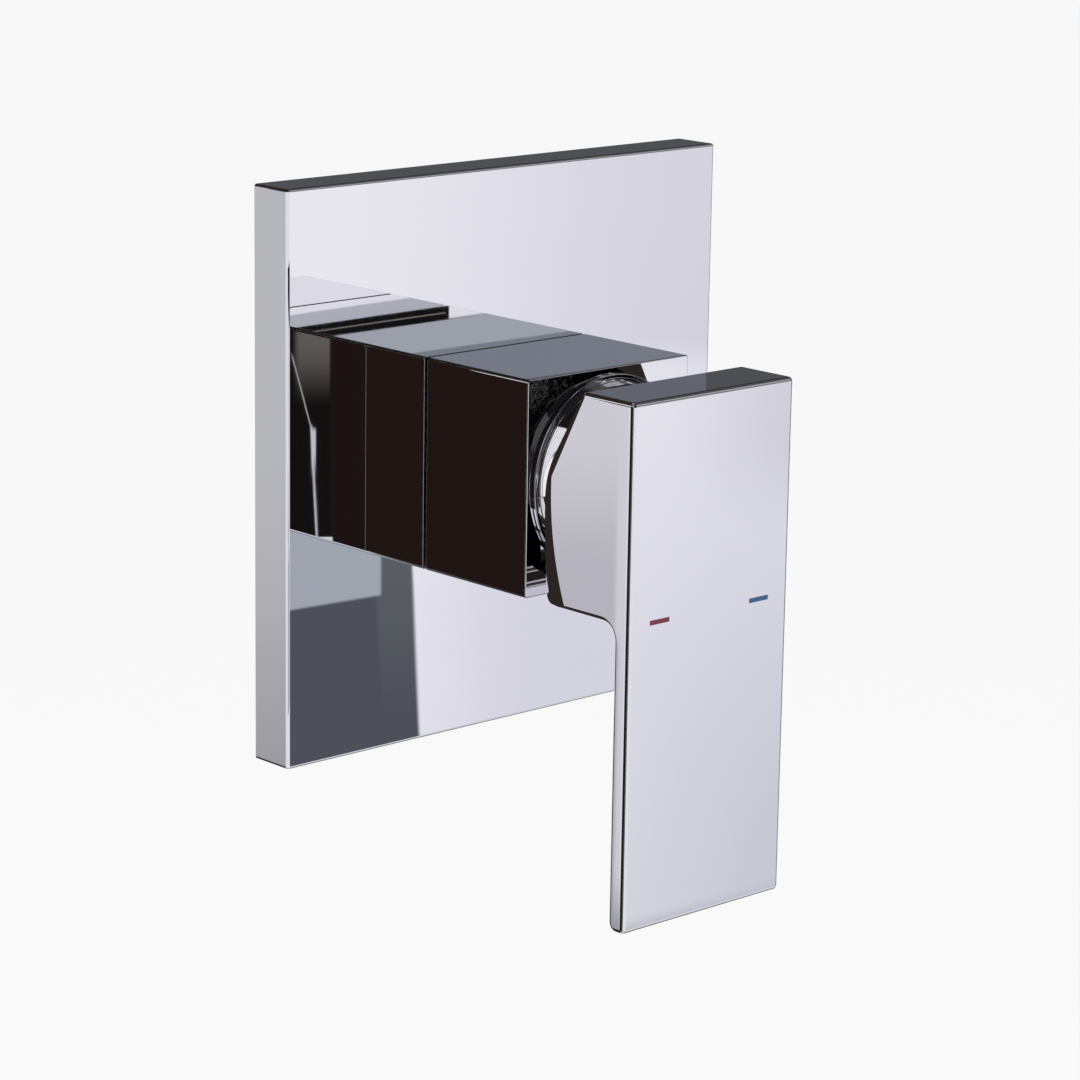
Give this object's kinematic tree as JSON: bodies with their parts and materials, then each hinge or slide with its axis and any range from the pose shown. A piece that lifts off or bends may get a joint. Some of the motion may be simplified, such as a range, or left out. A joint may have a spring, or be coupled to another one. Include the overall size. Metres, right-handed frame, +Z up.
{
  "type": "shower mixer valve",
  "caption": "Wall shower mixer: square chrome plate, square two-piece sleeve and a flat lever that lifts for flow and turns for heat.",
  "frame": {"origin": "valve axis at the finished wall, on the plate's back plane", "axes": "+Z up, +Y into the wall along the valve axis, so the front faces -Y; +X to the user's right"},
  "size_m": [0.12, 0.1113, 0.1342],
  "materials": {
    "polished_chrome": "mirror-polished chrome plate",
    "body_brass": "turned brass",
    "pin_steel": "ground stainless steel",
    "seal_rubber": "matt black EPDM",
    "foam": "closed-cell foam",
    "dark_nylon": "matt black nylon",
    "grey_plug": "satin grey",
    "housing_plastic": "moulded white acetal",
    "carrier_plastic": "glass-filled dark grey",
    "limit_plastic": "moulded red",
    "disc_ceramic": "lapped alumina",
    "red_enamel": "baked red enamel",
    "blue_enamel": "baked blue enamel"
  },
  "bodies": {
    "valve": {"wall_plate": "polished_chrome", "rear_sleeve": "polished_chrome", "front_sleeve": "polished_chrome", "dome_cap": "polished_chrome", "valve_body": "body_brass", "retaining_nut": "body_brass", "spigot_o_rings": "seal_rubber", "sleeve_o_rings": "seal_rubber", "plate_grommet": "seal_rubber", "base_seals": "seal_rubber", "disc_seals": "seal_rubber", "foam_seal": "foam", "seam_ring": "dark_nylon", "cap_washer": "dark_nylon", "cartridge_housing": "housing_plastic", "cartridge_base": "housing_plastic", "temperature_limit_ring": "limit_plastic", "fixed_disc": "disc_ceramic"},
    "turret": {"carrier": "carrier_plastic", "carrier_o_ring": "seal_rubber", "stem_pin": "pin_steel"},
    "slider": {"disc_slider": "carrier_plastic", "moving_disc": "disc_ceramic"},
    "lever": {"lever_handle": "polished_chrome", "stem": "body_brass", "set_screw": "pin_steel", "screw_cap": "grey_plug", "hot_mark": "red_enamel", "cold_mark": "blue_enamel"}
  },
  "joints": [
    {"name": "temperature_turn", "type": "hinge", "parent": "valve", "child": "turret", "pos_m": [0, -0.066, 0], "axis": [0, -1, 0], "range_deg": [-50, 50]},
    {"name": "flow_lift", "type": "hinge", "parent": "turret", "child": "lever", "pos_m": [0, -0.066, 0], "axis": [-1, 0, 0], "range_deg": [0, 25]},
    {"name": "disc_slide", "type": "slide", "parent": "turret", "child": "slider", "axis": [0, 0, -1], "range_m": [0, 0.0035]}
  ],
  "couplings": [
    {"joint": "disc_slide", "follows": "flow_lift", "m_per_rad": 0.00785}
  ]
}
